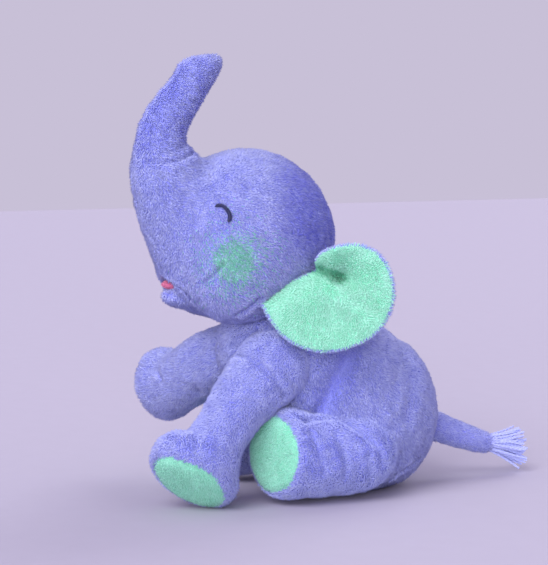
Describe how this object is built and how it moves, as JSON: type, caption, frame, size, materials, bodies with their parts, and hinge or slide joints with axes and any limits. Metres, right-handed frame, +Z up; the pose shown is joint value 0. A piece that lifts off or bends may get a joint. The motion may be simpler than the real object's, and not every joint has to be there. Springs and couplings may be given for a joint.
{
  "type": "stuffed elephant",
  "caption": "Seated soft-toy elephant with a raised trunk, cupped mint ears, mint soles, sleeping eyes, blushed cheeks and a yarn-tufted tail, jointed where its limbs are sewn on.",
  "frame": {"origin": "centre of the flat seat, on the surface that the toy sits on", "axes": "+Z up, the face looks along -Y, the toy's own left side is +X"},
  "size_m": [0.202, 0.2808, 0.2923],
  "materials": {
    "periwinkle_plush": "short-pile plush, soft nap",
    "mint_plush": "short-pile velboa, smooth nap",
    "pink_lining": "short-pile plush",
    "eye_thread": "satin-stitched polyester thread",
    "tail_yarn": "twisted acrylic yarn",
    "polyester_fibre": "loose polyester filling",
    "bean_pellets": "non-woven pouch of plastic pellets"
  },
  "bodies": {
    "torso": {"torso_left_panel": "periwinkle_plush", "torso_right_panel": "periwinkle_plush", "belly_panel": "periwinkle_plush", "torso_stuffing": "polyester_fibre", "bean_bag": "bean_pellets"},
    "neck": {"neck_stuffing": "polyester_fibre"},
    "head": {"head_left_panel": "periwinkle_plush", "head_right_panel": "periwinkle_plush", "crown_gusset": "periwinkle_plush", "jaw_panel": "periwinkle_plush", "mouth_lining": "pink_lining", "head_stuffing": "polyester_fibre", "left_eye_stitch": "eye_thread", "right_eye_stitch": "eye_thread"},
    "trunk": {"trunk_left_panel": "periwinkle_plush", "trunk_right_panel": "periwinkle_plush", "trunk_stuffing": "polyester_fibre"},
    "left_ear": {"left_ear_inner_panel": "mint_plush", "left_ear_back_panel": "periwinkle_plush"},
    "right_ear": {"right_ear_inner_panel": "mint_plush", "right_ear_back_panel": "periwinkle_plush"},
    "tail": {"tail_skin": "periwinkle_plush", "tail_tuft": "tail_yarn"},
    "left_arm": {"left_arm_outer_panel": "periwinkle_plush", "left_arm_inner_panel": "periwinkle_plush", "left_arm_sole_pad": "mint_plush", "left_arm_stuffing": "polyester_fibre"},
    "left_leg": {"left_leg_outer_panel": "periwinkle_plush", "left_leg_inner_panel": "periwinkle_plush", "left_leg_sole_pad": "mint_plush", "left_leg_stuffing": "polyester_fibre"},
    "right_arm": {"right_arm_outer_panel": "periwinkle_plush", "right_arm_inner_panel": "periwinkle_plush", "right_arm_sole_pad": "mint_plush", "right_arm_stuffing": "polyester_fibre"},
    "right_leg": {"right_leg_outer_panel": "periwinkle_plush", "right_leg_inner_panel": "periwinkle_plush", "right_leg_sole_pad": "mint_plush", "right_leg_stuffing": "polyester_fibre"}
  },
  "joints": [
    {"name": "head_turn", "type": "hinge", "parent": "torso", "child": "neck", "pos_m": [0, -0.05, 0.092], "axis": [0, 0, 1], "range_deg": [-25, 25], "stiffness_Nm_per_rad": 2},
    {"name": "head_nod", "type": "hinge", "parent": "neck", "child": "head", "pos_m": [0, -0.05, 0.092], "axis": [-1, 0, 0], "range_deg": [-8, 8], "stiffness_Nm_per_rad": 2.5},
    {"name": "trunk_bend", "type": "hinge", "parent": "head", "child": "trunk", "pos_m": [0, -0.133, 0.221], "axis": [-1, 0, 0], "range_deg": [-20, 22], "stiffness_Nm_per_rad": 0.25},
    {"name": "left_ear_flap", "type": "hinge", "parent": "head", "child": "left_ear", "pos_m": [0.0555, -0.082, 0.139], "axis": [0, -0.8638, -0.5038], "range_deg": [-8, 25], "stiffness_Nm_per_rad": 0.03},
    {"name": "right_ear_flap", "type": "hinge", "parent": "head", "child": "right_ear", "pos_m": [-0.0555, -0.082, 0.139], "axis": [0, 0.8638, 0.5038], "range_deg": [-8, 25], "stiffness_Nm_per_rad": 0.03},
    {"name": "left_arm_swing", "type": "hinge", "parent": "torso", "child": "left_arm", "pos_m": [0.034, -0.07, 0.088], "axis": [-1, 0, 0], "range_deg": [0, 40], "stiffness_Nm_per_rad": 0.3},
    {"name": "right_arm_swing", "type": "hinge", "parent": "torso", "child": "right_arm", "pos_m": [-0.034, -0.07, 0.088], "axis": [0, 0, 1], "range_deg": [0, 38], "stiffness_Nm_per_rad": 0.3},
    {"name": "left_leg_splay", "type": "hinge", "parent": "torso", "child": "left_leg", "pos_m": [0.042, -0.014, 0.031], "axis": [0, 0, 1], "range_deg": [0, 30], "stiffness_Nm_per_rad": 0.4},
    {"name": "right_leg_splay", "type": "hinge", "parent": "torso", "child": "right_leg", "pos_m": [-0.042, -0.014, 0.031], "axis": [0, 0, -1], "range_deg": [0, 30], "stiffness_Nm_per_rad": 0.4},
    {"name": "tail_wag", "type": "hinge", "parent": "torso", "child": "tail", "pos_m": [0, 0.062, 0.038], "axis": [0, 0, 1], "range_deg": [-25, 25], "stiffness_Nm_per_rad": 0.03}
  ]
}
